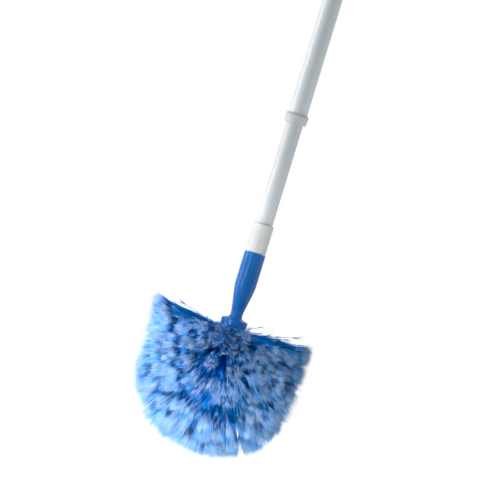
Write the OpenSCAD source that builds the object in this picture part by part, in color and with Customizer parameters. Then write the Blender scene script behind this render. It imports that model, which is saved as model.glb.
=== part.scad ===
// Domed cobweb brush on a telescopic pole of two tubes with a twist lock.
// The pole lies along Z with the brush head down, and the origin is the middle of the hanging hole.
// Each tuft of bristles is drawn as one solid flared bundle.

/* [Outer tube] */
// Outside diameter of the outer tube
outer_od = 25; // [24.6:0.1:26]
// Wall of the outer tube
outer_wall = 0.7; // [0.5:0.1:0.9]
// Length of the outer tube
outer_len = 700; // [650:10:1000]

/* [Inner tube] */
// Outside diameter of the inner tube
inner_od = 22; // [21:0.1:22.4]
// Wall of the inner tube
inner_wall = 0.7; // [0.5:0.1:0.9]
// Length of the inner tube
inner_len = 640; // [500:10:640]
// Length of inner tube that shows below the guide collar
pulled_out = 135.5; // [60:0.5:200]

/* [Guide collar] */
// Largest diameter of the guide collar
collar_od = 30.8; // [29.5:0.1:34]
// Diameter of the guide collar at its lower rim
collar_rim_od = 28.3; // [27.5:0.1:29.4]
// Length of the guide collar
collar_len = 13.7; // [11:0.1:24]
// Thickness of the lip under the end of the outer tube
collar_lip = 3; // [2:0.1:4]
// Height of the slope at the top of the guide collar
collar_slope = 2.2; // [1.5:0.1:3]

/* [Hanging cap and grip] */
// Diameter of the hanging hole
hang_d = 9; // [6:0.5:11]
// Radius of the round eye about the hanging hole
eye_r = 11; // [9:0.5:12]
// Thickness of the eye
eye_t = 9; // [6:0.5:12]
// Depth from the hanging hole down to the end of the outer tube
cap_drop = 17; // [16:0.5:24]
// Thickness of the cap's flange
cap_flange_t = 3; // [2:0.5:4]
// Length of the cap's plug inside the outer tube
cap_plug_len = 25; // [20:1:40]
// Depth of the cap's cross pin below the end of the outer tube
cap_pin_drop = 14; // [8:1:16]
// Outside diameter of the hand grip
grip_od = 31; // [29.5:0.5:34]
// Length of the hand grip
grip_len = 118; // [90:1:160]
// Number of grooves round the hand grip
grip_grooves = 12; // [6:1:14]

/* [Pole tip] */
// Outside diameter of the sleeve on the pole tip
tip_od = 26.6; // [25.6:0.1:28]
// Length of the sleeve on the pole tip
tip_len = 38.5; // [34:0.5:50]
// Depth of the cup that holds the inner tube
tip_cup = 33; // [24:0.5:33]
// Diameter over the thread
thread_od = 21.4; // [20.6:0.1:22]
// Height of the thread
thread_h = 1.7; // [1.2:0.1:2]
// Pitch of the thread
thread_pitch = 5; // [4:0.5:6]
// Length of the threaded end
thread_len = 31; // [26:0.5:34]
// Width of the thread's crest
thread_crest = 1.3; // [1:0.1:1.6]
// Depth of the fixing screw below the top of the sleeve
tip_screw_drop = 12; // [8:0.5:18]

/* [Twist lock] */
// Length of the end plug inside the inner tube
plug_len = 34; // [30:1:40]
// Thickness of the end plug's flange
plug_flange_t = 4; // [3:0.5:5]
// Diameter of the lock stud
stud_d = 8; // [7:0.5:9]
// Depth of the stud's head below the end of the inner tube
stud_head_drop = 15; // [12:1:17]
// Thickness of the stud's head
stud_head_t = 5; // [4:0.5:6]
// Width across the flats of the stud's head and the stop nut
stud_hex = 13; // [12:0.5:14]
// Thickness of the lock washer
lock_washer_t = 1; // [0.8:0.1:1.5]
// Length of the expander sleeve
expander_len = 26; // [22:1:32]
// Thickness of the expander sleeve's floor
expander_floor = 3.5; // [3:0.5:5]
// Length of the lock cone
cone_len = 14; // [12:0.5:16]
// Radius of the lock cone's small end
cone_r_small = 7; // [6.5:0.1:7.5]
// Radius of the lock cone's large end
cone_r_large = 9.4; // [9:0.1:9.8]
// Height of the cone that stands out of the sleeve when locked
cone_proud = 4; // [3:0.5:5]
// Way that the cone rises when the lock is let go
cone_travel = 3; // [2:0.5:4]
// Width of the slots in the expander sleeve
slot_w = 2.4; // [2:0.1:3]
// Thickness of the stop nut
stop_nut_t = 5; // [4:0.5:6]

/* [Neck] */
// Outside diameter of the neck at its rim
neck_od = 27.8; // [27:0.1:30]
// Length of the neck from its rim to the flange
neck_len = 90; // [84:1:110]
// Length of the straight part under the rim
neck_straight = 43; // [40:1:46]
// Diameter of the waist
waist_od = 15.6; // [15:0.1:18]
// Radius of the hollow between the waist and the flange
waist_fillet = 5; // [3:0.5:6]
// Diameter of the flange
flange_od = 34.8; // [32:0.1:40]
// Height of the flange's edge
flange_h = 8.6; // [6:0.1:12]
// Depth of the socket for the pole tip
socket_depth = 34; // [34:0.5:38]
// Diameter of the well that takes the neck screw
well_d = 8.6; // [8.4:0.1:9.4]
// Width across the flats of the spigot in the block
spigot_hex = 13; // [12:0.5:15]
// Length of the spigot in the block
spigot_len = 18; // [14:1:22]
// Number of raised grip bars on each side
grip_bars = 5; // [3:1:6]
// Height of the grip bars
grip_bar_h = 0.7; // [0.4:0.1:1]

/* [Neck screw] */
// Diameter of the neck screw
screw_d = 4; // [3.5:0.1:4.4]
// Diameter of the neck screw's head
screw_head_d = 7.4; // [7:0.1:7.8]
// Height of the neck screw's head
screw_head_h = 2.8; // [2.2:0.1:3.4]
// Depth of the neck screw in the block
screw_bite = 16; // [12:1:20]
// Height of the screw's seat above the block
screw_seat = 12; // [10:0.5:16]
// Thickness of the screw's washer
screw_washer_t = 1; // [0.8:0.1:1.4]

/* [Brush block] */
// Radius of the block and of its round end
block_r = 27; // [26:0.5:30]
// Length of the block
block_len = 66; // [62:1:74]
// Radius of the block's upper edge
block_edge = 6; // [4:0.5:7]
// Diameter of a tuft hole
hole_d = 4.8; // [4:0.1:5]
// Depth of a tuft hole
hole_depth = 8; // [6:0.5:8.5]
// Distance between tuft holes round a row
hole_pitch = 7.6; // [7.4:0.1:9]
// Depth of the first row of tufts below the block's top
first_row_drop = 8; // [7:0.5:10]

/* [Bristles] */
// Radius of the bristle head
head_r = 105; // [90:1:120]
// Depth of the bristle head below the block's top
head_depth = 165; // [155:1:185]
// Depth at which the straight sides turn into the dome
dome_start = 50; // [44:1:56]
// Squareness of the dome
dome_power = 2.7; // [2.2:0.1:3.2]
// Height of the uppermost tips above the block's top
rim_rise = 4; // [0:0.5:8]
// Radius of a tuft at its tip
tuft_tip_r = 10.5; // [8:0.5:11]
// Height of the rounding at a tuft's tip
tuft_round = 4; // [2:0.5:6]
// Height of the anchor plate in a tuft hole
anchor_h = 1.8; // [1.4:0.1:2.2]

/* [Hidden] */
ROWS = 9;
ROW_NAMES = [for (k = [1 : ROWS]) str("tuft_row_", k)];
$fn = 64;

// Clearances: seat is between fixed pieces, run is a running fit, loose is between parts that move apart.
seat = 0.05;
run = 0.1;
loose = 0.3;
overlap = 0.4;

// Heights along the pole, from the hanging hole down.
outer_r = outer_od / 2;
outer_bore_r = outer_r - outer_wall;
inner_r = inner_od / 2;
inner_bore_r = inner_r - inner_wall;
outer_top = -cap_drop;
outer_end = outer_top - outer_len;
collar_rim = outer_end - collar_lip;
collar_top = collar_rim + collar_len;
tip_top = collar_rim - pulled_out;
tip_shoulder = tip_top - tip_len;
inner_end = tip_top - tip_cup;
inner_top = inner_end + inner_len;
neck_rim = tip_shoulder - loose;
flange_top = neck_rim - neck_len;
block_top = flange_top - flange_h;

// Pins and small screws of the pole.
pin_r = 1.5;
pin_hole_r = pin_r + seat;
tip_screw_r = 1.5;
tip_screw_head_r = 3;
tip_screw_head_h = 1.4;
tip_screw_len = 5;

// Hanging cap.
cap_flange_top = outer_top + cap_flange_t;
eye_edge = 1;
cap_pin_z = outer_top - cap_pin_drop;

// Hand grip.
grip_wall_end = 1.2;
grip_groove_depth = 1.1;
grip_end_run = 11;
grip_groove_pitch = (grip_len - 2 * grip_end_run) / (grip_grooves - 1);
grip_groove_w = grip_groove_pitch * 0.36;

// Pole tip.
thread_r = thread_od / 2;
core_r = thread_r - thread_h;
tip_bore_r = 5.2;
tip_bore_floor = 4;
thread_end = tip_shoulder - thread_len;
thread_runout = 3.5;
thread_steps = 24;
thread_base_w = thread_crest + 1.4;

// Twist lock, from the end of the inner tube up.
plug_r = inner_bore_r - seat;
plug_pin_z = inner_top - (plug_len + stud_head_drop + stud_head_t) / 2;
plug_flange_r = inner_r + 0.3;
stud_r = stud_d / 2;
washer_base = inner_top + plug_flange_t;
expander_base = washer_base + lock_washer_t;
expander_top = expander_base + expander_len;
expander_r = outer_bore_r - run;
cone_top = expander_top + cone_proud;
cone_base = cone_top - cone_len;
stop_nut_base = cone_top + cone_travel + loose;
stud_top = stop_nut_base + stop_nut_t + 1;
key_w = slot_w - 2 * 0.25;
key_reach = expander_r - 1;
slot_floor = expander_base + 7;

// Neck.
neck_r = neck_od / 2;
waist_r = waist_od / 2;
flange_r = flange_od / 2;
socket_r = thread_r + loose;
well_r = well_d / 2;
flange_slope_h = 1.6;
waist_z = flange_top + waist_fillet + flange_slope_h;
taper_top = neck_rim - neck_straight;
spigot_end = block_top - spigot_len;
screw_seat_z = block_top + screw_seat;
screw_r = screw_d / 2;
screw_point = spigot_end - screw_bite;

// Brush block and rows of tufts.
hole_r = hole_d / 2;
block_mid_z = block_top - (block_len - block_r);
root_start = -atan((block_len - block_r - first_row_drop) / block_r);
dome_z = block_top - dome_start;
dome_h = head_depth - dome_start;
tip_start = -atan((dome_start + rim_rise - tuft_tip_r) / head_r);
tuft_root_r = hole_r - seat;

// Points on an arc about c, from angle a to angle b.
function arc(c, r, a, b, n = 8) = [for (i = [0 : n]) c + r * [cos(a + (b - a) * i / n), sin(a + (b - a) * i / n)]];

// Blend from 0 to 1, half a straight line and half a smooth step.
function ease(t) = 0.5 * t + 0.25 * (1 - cos(180 * t));

// Circumradius of a hexagon from its width across the flats.
function hex_r(flats) = flats / 2 / cos(30);

// Reach of the bristle head's outline from the dome's centre, below the level at an angle a.
function head_reach(a) =
    a < 0 ? head_r / cos(a) : pow(pow(cos(a) / head_r, dome_power) + pow(sin(a) / dome_h, dome_power), -1 / dome_power);

// Reach of the block's outline from the middle of its round end.
function block_reach(a) = a < 0 ? block_r / cos(a) : block_r;

// Radius and height of row k's tips and roots, where row 0 is the uppermost and row ROWS is the crown.
function tip_angle(k) = tip_start + (90 - tip_start) * k / ROWS;
function root_angle(k) = root_start + (90 - root_start) * k / ROWS;
function tip_point(k) =
    let (a = tip_angle(k), r = head_reach(a)) [r * cos(a), dome_z - r * sin(a)];
function root_point(k) =
    let (a = root_angle(k), r = block_reach(a)) [r * cos(a), block_mid_z - r * sin(a)];
function tuft_count(k) = k == ROWS ? 1 : floor(2 * PI * root_point(k)[0] / hole_pitch);

// Tube between two heights.
module tube(r_out, r_in, low, high) {
    difference() {
        translate([0, 0, low]) cylinder(r = r_out, h = high - low);
        translate([0, 0, low - 1]) cylinder(r = r_in, h = high - low + 2);
    }
}

// Rod across the pole along Y, from y = a to y = b.
module cross_rod(r, z, a, b) {
    translate([0, a, z]) rotate([-90, 0, 0]) cylinder(r = r, h = b - a);
}

module outer_tube() {
    color("gainsboro") difference() {
        tube(outer_r, outer_bore_r, outer_end, outer_top);
        cross_rod(pin_hole_r, cap_pin_z, -outer_od, outer_od);
    }
}

module guide_collar() {
    bore = outer_r + seat;
    lip = inner_r + run;
    round_r = 0.8;
    color("whitesmoke") rotate_extrude() polygon(concat(
        [[lip, collar_rim + 0.5], [lip + 0.5, collar_rim]],
        arc([collar_rim_od / 2 - round_r, collar_rim + round_r], round_r, -90, 0, 4),
        arc([collar_od / 2 - round_r, collar_top - collar_slope - round_r], round_r, 0, 50, 3),
        [[bore + 0.7, collar_top], [bore, collar_top], [bore, outer_end], [lip, outer_end]]
    ));
}

module hand_grip() {
    r = grip_od / 2;
    bore = outer_r + seat;
    low = outer_top - grip_len;
    color("royalblue") difference() {
        rotate_extrude() polygon(concat(
            [[bore, low], [bore + grip_wall_end, low]],
            [[r - 0.6, low + 5], [r, low + 7]],
            arc([r - 1, outer_top - 1], 1, 0, 90, 4),
            [[bore, outer_top]]
        ));
        for (i = [0 : grip_grooves - 1])
            grip_groove(low + grip_end_run + i * grip_groove_pitch);
    }
}

// One round groove in the hand grip.
module grip_groove(z) {
    r = grip_od / 2;
    half = grip_groove_w / 2;
    rotate_extrude() polygon([
        [r + 1, z - half - 1],
        [r - grip_groove_depth, z - half + 0.5],
        [r - grip_groove_depth, z + half - 0.5],
        [r + 1, z + half + 1]
    ]);
}

module hang_cap() {
    eye_low = cap_flange_top - overlap;
    color("royalblue") difference() {
        union() {
            eye_body(eye_low);
            rotate_extrude() polygon(concat(
                [[0, outer_top], [grip_od / 2 - 0.6, outer_top]],
                arc([grip_od / 2 - 1.6, cap_flange_top - 1.2], 1.2, 0, 90, 4),
                [[0, cap_flange_top]]
            ));
            translate([0, 0, outer_top - cap_plug_len])
                cylinder(r = outer_bore_r - seat, h = cap_plug_len + overlap);
        }
        cross_rod(hang_d / 2, 0, -eye_t, eye_t);
        for (s = [-1, 1])
            hole_edge(s);
        translate([0, 0, outer_top - cap_plug_len - 1])
            cylinder(r = outer_bore_r - 3, h = cap_plug_len - 2);
        cross_rod(pin_hole_r, cap_pin_z, -outer_od, outer_od);
    }
}

// Flat eye with rounded edges, from its foot at height low up to the round top.
module eye_body(low) {
    half = eye_t / 2;
    hull() {
        rotate([90, 0, 0]) cylinder(r = eye_r - eye_edge, h = eye_t, center = true, $fn = 32);
        rotate([90, 0, 0]) cylinder(r = eye_r, h = eye_t - 2 * eye_edge, center = true, $fn = 32);
        translate([-eye_r, -half + eye_edge, low]) cube([2 * eye_r, eye_t - 2 * eye_edge, 1]);
        translate([-eye_r + eye_edge, -half, low]) cube([2 * (eye_r - eye_edge), eye_t, 1]);
    }
}

// Countersink at one end of the hanging hole.
module hole_edge(side) {
    rotate([side * 90, 0, 0])
        translate([0, 0, eye_t / 2 - 0.8])
            cylinder(r1 = hang_d / 2, r2 = hang_d / 2 + 1, h = 1);
}

module cap_pin() {
    color("silver") cross_rod(pin_r, cap_pin_z, -outer_r, outer_r);
}

module inner_tube() {
    color("gainsboro") difference() {
        tube(inner_r, inner_bore_r, inner_end, inner_top);
        cross_rod(pin_hole_r, plug_pin_z, -inner_od, inner_od);
        cross_rod(tip_screw_r + seat, tip_top - tip_screw_drop, 0, inner_od);
    }
}

module pole_tip() {
    cup_r = inner_r + seat;
    color("whitesmoke") difference() {
        union() {
            rotate_extrude() polygon(concat(
                [[0, tip_shoulder], [tip_od / 2 - 0.6, tip_shoulder], [tip_od / 2, tip_shoulder + 0.6]],
                arc([tip_od / 2 - 1, tip_top - 1], 1, 0, 90, 4),
                [[0, tip_top]]
            ));
            rotate_extrude() polygon([
                [0, tip_shoulder + overlap],
                [core_r, tip_shoulder + overlap],
                [core_r, thread_end + 2],
                [core_r - 1.2, thread_end],
                [0, thread_end]
            ]);
            tip_thread();
        }
        translate([0, 0, inner_end]) cylinder(r = cup_r, h = tip_cup + 1);
        translate([0, 0, thread_end - 1])
            cylinder(r = tip_bore_r, h = thread_len + 1 - tip_bore_floor);
        cross_rod(tip_screw_r + seat, tip_top - tip_screw_drop, 0, tip_od);
        translate([0, tip_od / 2 - 0.8, tip_top - tip_screw_drop]) rotate([-90, 0, 0])
            cylinder(r = tip_screw_head_r + seat, h = 2);
    }
}

// Helical ridge of the pole tip, fading out at both ends.
module tip_thread() {
    low = thread_end + thread_runout;
    turns = (thread_len - 2 * thread_runout) / thread_pitch;
    n = ceil(turns * thread_steps);
    root = core_r - overlap;
    sections = [for (i = [0 : n])
        let (
            a = 360 * turns * i / n,
            z = low + thread_pitch * turns * i / n,
            fade = min(1, 8 * i / n, 8 * (n - i) / n),
            crest = core_r + 0.05 + (thread_r - core_r - 0.05) * fade,
            c = [cos(a), sin(a)]
        )
        [
            [root * c[0], root * c[1], z - thread_base_w / 2],
            [crest * c[0], crest * c[1], z - thread_crest / 2],
            [crest * c[0], crest * c[1], z + thread_crest / 2],
            [root * c[0], root * c[1], z + thread_base_w / 2]
        ]];
    points = [for (s = sections, p = s) p];
    sides = [for (i = [0 : n - 1], j = [0 : 3])
        let (a = 4 * i + j, b = 4 * i + (j + 1) % 4)
        each [[a, b, b + 4], [a, b + 4, a + 4]]];
    ends = [[0, 3, 2], [0, 2, 1], [4 * n, 4 * n + 1, 4 * n + 2], [4 * n, 4 * n + 2, 4 * n + 3]];
    polyhedron(points = points, faces = concat(sides, ends));
}

module tip_screw() {
    seat_y = tip_od / 2 - 0.8;
    z = tip_top - tip_screw_drop;
    color("silver") difference() {
        translate([0, seat_y, z]) rotate([-90, 0, 0]) rotate_extrude() polygon(concat(
            [[0, -tip_screw_len], [tip_screw_r * 0.4, -tip_screw_len]],
            [[tip_screw_r, -tip_screw_len + 1.5], [tip_screw_r, 0], [tip_screw_head_r, 0]],
            arc([tip_screw_head_r - 1, tip_screw_head_h - 1], 1, 0, 90, 4),
            [[0, tip_screw_head_h]]
        ));
        for (turn = [0, 90])
            translate([0, seat_y + tip_screw_head_h, z]) rotate([0, turn, 0])
                cube([3.4, 1.6, 0.7], center = true);
    }
}

module end_plug() {
    color("dimgray") difference() {
        union() {
            translate([0, 0, inner_top - plug_len]) cylinder(r = plug_r, h = plug_len + overlap);
            translate([0, 0, inner_top]) cylinder(r = plug_flange_r, h = plug_flange_t);
        }
        translate([0, 0, inner_top - plug_len - 1]) cylinder(r = stud_r + seat, h = plug_len + plug_flange_t + 2);
        translate([0, 0, inner_top - plug_len - 1])
            cylinder(r = hex_r(stud_hex) + seat, h = plug_len - stud_head_drop + 1, $fn = 6);
        cross_rod(pin_hole_r, plug_pin_z, -inner_od, inner_od);
    }
}

module plug_pin() {
    color("silver") cross_rod(pin_r, plug_pin_z, -inner_r, inner_r);
}

module lock_stud() {
    head_z = inner_top - stud_head_drop - stud_head_t;
    color("silver") union() {
        translate([0, 0, head_z]) cylinder(r = hex_r(stud_hex), h = stud_head_t, $fn = 6);
        rotate_extrude() polygon([
            [0, head_z + overlap],
            [stud_r, head_z + overlap],
            [stud_r, stud_top - 1],
            [stud_r - 1, stud_top],
            [0, stud_top]
        ]);
    }
}

module lock_washer() {
    color("silver") tube(plug_flange_r - 1, stud_r + run, washer_base, expander_base);
}

module stop_nut() {
    color("silver") difference() {
        translate([0, 0, stop_nut_base]) cylinder(r = hex_r(stud_hex), h = stop_nut_t, $fn = 6);
        translate([0, 0, stop_nut_base - 1]) cylinder(r = stud_r + seat, h = stop_nut_t + 2);
    }
}

// Radius of the lock cone at a height, when locked.
function cone_r(z) = cone_r_small + (cone_r_large - cone_r_small) * (z - cone_base) / cone_len;

module expander_sleeve() {
    well = cone_base - loose;
    color("darkorange") difference() {
        rotate_extrude() polygon([
            [stud_r + run, expander_base],
            [expander_r - 0.8, expander_base],
            [expander_r, expander_base + 0.8],
            [expander_r, expander_top - 0.8],
            [expander_r - 0.4, expander_top],
            [cone_r(expander_top) + loose, expander_top],
            [cone_r(well) + loose, well],
            [cone_r(well) + loose, expander_base + expander_floor],
            [stud_r + run, expander_base + expander_floor]
        ]);
        for (turn = [0, 90])
            rotate([0, 0, turn])
                translate([-outer_od, -slot_w / 2, slot_floor])
                    cube([2 * outer_od, slot_w, expander_len]);
    }
}

module lock_cone() {
    key_z = cone_base + 2;
    color("dimgray") difference() {
        union() {
            translate([0, 0, cone_base]) cylinder(r1 = cone_r_small, r2 = cone_r_large, h = cone_len);
            for (turn = [0, 90])
                rotate([0, 0, turn])
                    translate([-key_reach, -key_w / 2, key_z])
                        cube([2 * key_reach, key_w, expander_top - key_z - 1]);
        }
        translate([0, 0, cone_base - 1]) cylinder(r = stud_r + run, h = cone_len + 2);
    }
}

// Half of the neck's outline from the rim down to the flange, grown outwards by grow.
function neck_outline(grow = 0) = concat(
    [[neck_r + grow, neck_rim], [neck_r + grow, taper_top]],
    [for (i = [1 : 20])
        let (t = i / 20)
        [neck_r + grow + (waist_r - neck_r) * ease(t), taper_top + (waist_z - taper_top) * t]]
);

module socket_neck() {
    color("royalblue") difference() {
        union() {
            rotate_extrude() polygon(concat(
                [[0, neck_rim], [neck_r - 0.5, neck_rim], [neck_r, neck_rim - 0.5]],
                [for (p = neck_outline()) if (p[1] < neck_rim) p],
                arc([waist_r + waist_fillet, waist_z], waist_fillet, 180, 262, 8),
                [[flange_r - 0.7, flange_top + 0.2], [flange_r, flange_top - 0.5]],
                [[flange_r - 0.2, block_top + 0.6], [flange_r - 0.8, block_top], [0, block_top]]
            ));
            for (side = [0, 180])
                rotate([0, 0, side]) neck_grip_bars();
            translate([0, 0, spigot_end]) cylinder(r = hex_r(spigot_hex), h = spigot_len + overlap, $fn = 6);
        }
        neck_hollow();
    }
}

// Room inside the neck for the pole tip, the screw's head and the screw.
module neck_hollow() {
    socket_end = neck_rim - socket_depth;
    rotate_extrude() polygon([
        [0, neck_rim + 1],
        [socket_r, neck_rim + 1],
        [socket_r, socket_end],
        [well_r, socket_end - 8],
        [well_r, screw_seat_z],
        [screw_r + seat, screw_seat_z],
        [screw_r + seat, spigot_end - 1],
        [0, spigot_end - 1]
    ]);
}

// Raised bars across one face of the neck, where a thumb turns the head on and off.
module neck_grip_bars() {
    high = taper_top + 1;
    pitch = 6.4;
    intersection() {
        rotate_extrude() polygon(concat(
            [[0, neck_rim]],
            neck_outline(grip_bar_h),
            [[0, waist_z]]
        ));
        for (i = [0 : grip_bars - 1])
            grip_bar(high - i * pitch, 11 - 1.1 * i);
    }
}

// One bar with round ends, w wide, that reaches from inside the neck to its front.
module grip_bar(z, w) {
    r = 1.3;
    translate([0, -waist_r + 1.5, z]) rotate([90, 0, 0]) union() {
        translate([-w / 2 + r, -r, 0]) cube([w - 2 * r, 2 * r, neck_od]);
        for (s = [-1, 1])
            translate([s * (w / 2 - r), 0, 0]) cylinder(r = r, h = neck_od);
    }
}

module neck_screw() {
    head_z = screw_seat_z + screw_washer_t;
    color("silver") difference() {
        rotate_extrude() polygon(concat(
            [[0, screw_point], [screw_r, screw_point + 4], [screw_r, head_z], [screw_head_d / 2, head_z]],
            arc([screw_head_d / 2 - 1.4, head_z + screw_head_h - 1.4], 1.4, 0, 90, 5),
            [[0, head_z + screw_head_h]]
        ));
        for (turn = [0, 90])
            translate([0, 0, head_z + screw_head_h]) rotate([0, 0, turn])
                cube([4.2, 0.9, 3], center = true);
    }
}

module screw_washer() {
    color("silver") tube(well_r - 0.2, screw_r + seat, screw_seat_z, screw_seat_z + screw_washer_t);
}

// Places its children at every tuft of row k, with Z along the tuft and zero at the block's surface.
module at_tufts(k) {
    root = root_point(k);
    run_out = tip_point(k) - root;
    tilt = atan2(run_out[0], run_out[1]);
    count = tuft_count(k);
    for (i = [0 : count - 1])
        rotate([0, 0, 360 * (i + (k % 2) / 2) / count])
            translate([root[0], 0, root[1]])
                rotate([0, tilt, 0])
                    children();
}

module brush_block() {
    color("mediumblue") difference() {
        rotate_extrude() polygon(concat(
            [[0, block_top]],
            arc([block_r - block_edge, block_top - block_edge], block_edge, 90, 0, 6),
            arc([0, block_mid_z], block_r, 0, -90, 24)
        ));
        translate([0, 0, spigot_end - 0.5])
            cylinder(r = hex_r(spigot_hex) + seat, h = spigot_len + 1.5, $fn = 6);
        translate([0, 0, screw_point - 1]) cylinder(r = screw_r + seat, h = screw_bite + spigot_len);
        for (k = [0 : ROWS])
            at_tufts(k)
                translate([0, 0, -hole_depth]) cylinder(r = hole_r, h = hole_depth + 6, $fn = 24);
    }
}

module tuft_anchors() {
    plate_w = hole_d - 0.6;
    plate_t = 0.6;
    color("silver") for (k = [0 : ROWS])
        at_tufts(k)
            translate([-plate_w / 2, -plate_t / 2, -hole_depth]) cube([plate_w, plate_t, anchor_h]);
}

// All tufts of row k, each a bundle that is straight in its hole and flares to its tip.
module tuft_row(k) {
    len = norm(tip_point(k) - root_point(k));
    color(k % 2 == 0 ? "cornflowerblue" : "lightskyblue")
        at_tufts(k)
            rotate_extrude($fn = 24) polygon([
                [0, anchor_h - hole_depth],
                [tuft_root_r, anchor_h - hole_depth],
                [tuft_root_r, 0.5],
                [tuft_tip_r, len - tuft_round],
                [tuft_tip_r * 0.65, len],
                [0, len]
            ]);
}

module tuft_crown() {
    tuft_row(ROWS);
}

outer_tube();
guide_collar();
hand_grip();
hang_cap();
cap_pin();
inner_tube();
pole_tip();
tip_screw();
end_plug();
plug_pin();
lock_stud();
lock_washer();
stop_nut();
expander_sleeve();
lock_cone();
socket_neck();
neck_screw();
screw_washer();
brush_block();
tuft_anchors();
for (k = [1 : ROWS])
    tuft_row(k - 1);
tuft_crown();
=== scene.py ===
"""Cobweb brush on a telescopic pole: finishes, bristles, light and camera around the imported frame."""
import logging
import math
from dataclasses import dataclass, field
from enum import Enum
from typing import Any

import bmesh
import bpy
import numpy as np
from mathutils import Matrix, Vector


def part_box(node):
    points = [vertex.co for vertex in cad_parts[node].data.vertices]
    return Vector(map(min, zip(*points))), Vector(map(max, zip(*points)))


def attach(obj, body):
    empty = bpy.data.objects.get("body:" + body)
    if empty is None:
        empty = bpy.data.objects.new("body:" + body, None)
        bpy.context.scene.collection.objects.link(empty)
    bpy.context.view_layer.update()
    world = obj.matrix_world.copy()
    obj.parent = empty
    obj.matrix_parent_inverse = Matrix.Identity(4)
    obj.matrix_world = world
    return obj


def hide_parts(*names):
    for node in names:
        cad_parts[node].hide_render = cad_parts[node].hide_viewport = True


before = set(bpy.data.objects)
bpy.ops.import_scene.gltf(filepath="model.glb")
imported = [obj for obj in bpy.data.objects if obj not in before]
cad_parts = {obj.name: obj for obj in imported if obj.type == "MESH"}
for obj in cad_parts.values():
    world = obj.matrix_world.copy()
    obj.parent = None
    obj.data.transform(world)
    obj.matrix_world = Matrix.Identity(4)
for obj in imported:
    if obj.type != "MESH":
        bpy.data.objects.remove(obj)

log = logging.getLogger("cobweb_brush")

Colour = tuple[float, float, float]
MM = 0.001
WHITE: Colour = (1.0, 1.0, 1.0)
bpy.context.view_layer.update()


class Space(Enum):
    """In how many dimensions a noise varies."""

    LINE = "1D"
    SOLID = "3D"


class Tree:
    """A node tree under construction, with short ways to add and join its nodes."""

    def __init__(self, tree: bpy.types.NodeTree) -> None:
        """Starts on a tree that may already hold nodes."""
        self.tree = tree

    def add(self, kind: str, **settings: Any) -> bpy.types.Node:
        """Adds a node.

        Args:
            kind: The node's type, such as ShaderNodeMath.
            settings: Properties of the node and their values.

        Returns:
            The new node.
        """
        node = self.tree.nodes.new(kind)
        for key, value in settings.items():
            setattr(node, key, value)
        return node

    def feed(self, socket: bpy.types.NodeSocket, value: Any) -> None:
        """Links a socket to a value, or sets it where the value is a constant.

        Args:
            socket: The socket.
            value: Another socket, or a constant.
        """
        if isinstance(value, bpy.types.NodeSocket):
            self.tree.links.new(value, socket)
        else:
            socket.default_value = value

    def math(self, operation: str, *values: Any, clamp: bool = False) -> bpy.types.NodeSocket:
        """Adds a Math node.

        Args:
            operation: The operation's name, such as MULTIPLY.
            values: A constant or a socket for each input.
            clamp: Whether the result is held between 0 and 1.

        Returns:
            The result's socket.
        """
        node = self.add("ShaderNodeMath", operation=operation, use_clamp=clamp)
        for socket, value in zip(node.inputs, values):
            self.feed(socket, value)
        return node.outputs[0]

    def mix(self, share: Any, first: Any, second: Any, blend: str = "MIX") -> bpy.types.NodeSocket:
        """Mixes two colours.

        Args:
            share: The share of the second colour.
            first: The first colour.
            second: The second colour.
            blend: How they are mixed.

        Returns:
            The mixed colour's socket.
        """
        node = self.add("ShaderNodeMix", data_type="RGBA", blend_type=blend)
        for index, value in ((0, share), (6, first), (7, second)):
            self.feed(node.inputs[index], value)
        return node.outputs[2]

    def noise(self, coords: Any, scale: Any, detail: float = 3.0,
              space: Space = Space.SOLID) -> bpy.types.NodeSocket:
        """Adds a noise texture.

        Args:
            coords: The coordinates that it reads.
            scale: How fine it is.
            detail: How many octaves it has.
            space: In how many dimensions it varies.

        Returns:
            The socket of its value.
        """
        node = self.add("ShaderNodeTexNoise", noise_dimensions=space.value)
        self.feed(node.inputs["W" if space is Space.LINE else "Vector"], coords)
        self.feed(node.inputs["Scale"], scale)
        node.inputs["Detail"].default_value = detail
        return node.outputs[0]

    def band(self, value: Any, low: float, high: float) -> bpy.types.NodeSocket:
        """Rises smoothly from 0 at low to 1 at high.

        Args:
            value: The value that is read.
            low: Where the rise starts.
            high: Where it ends.

        Returns:
            The socket of the result.
        """
        node = self.add("ShaderNodeMapRange", interpolation_type="SMOOTHSTEP")
        self.feed(node.inputs["Value"], value)
        node.inputs["From Min"].default_value = low
        node.inputs["From Max"].default_value = high
        return node.outputs["Result"]

    def ramp(self, share: Any, stops: tuple[tuple[float, Colour], ...]) -> bpy.types.NodeSocket:
        """Adds a colour ramp.

        Args:
            share: Where on the ramp to read.
            stops: Each stop's place and colour.

        Returns:
            The socket of the colour.
        """
        node = self.add("ShaderNodeValToRGB")
        elements = node.color_ramp.elements
        while len(elements) < len(stops):
            elements.new(0.5)
        for element, (place, colour) in zip(elements, stops):
            element.position = place
            element.color = (*colour, 1.0)
        self.feed(node.inputs[0], share)
        return node.outputs[0]

    def stretch(self, coords: Any, scale: Colour) -> bpy.types.NodeSocket:
        """Scales coordinates by a factor for each axis.

        Args:
            coords: The coordinates.
            scale: The three factors.

        Returns:
            The socket of the scaled coordinates.
        """
        node = self.add("ShaderNodeMapping")
        self.feed(node.inputs["Vector"], coords)
        node.inputs["Scale"].default_value = scale
        return node.outputs[0]


@dataclass(frozen=True)
class Socket:
    """One socket of a shared effect's node group."""

    name: str
    kind: str = "NodeSocketFloat"
    start: float | None = None


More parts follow.
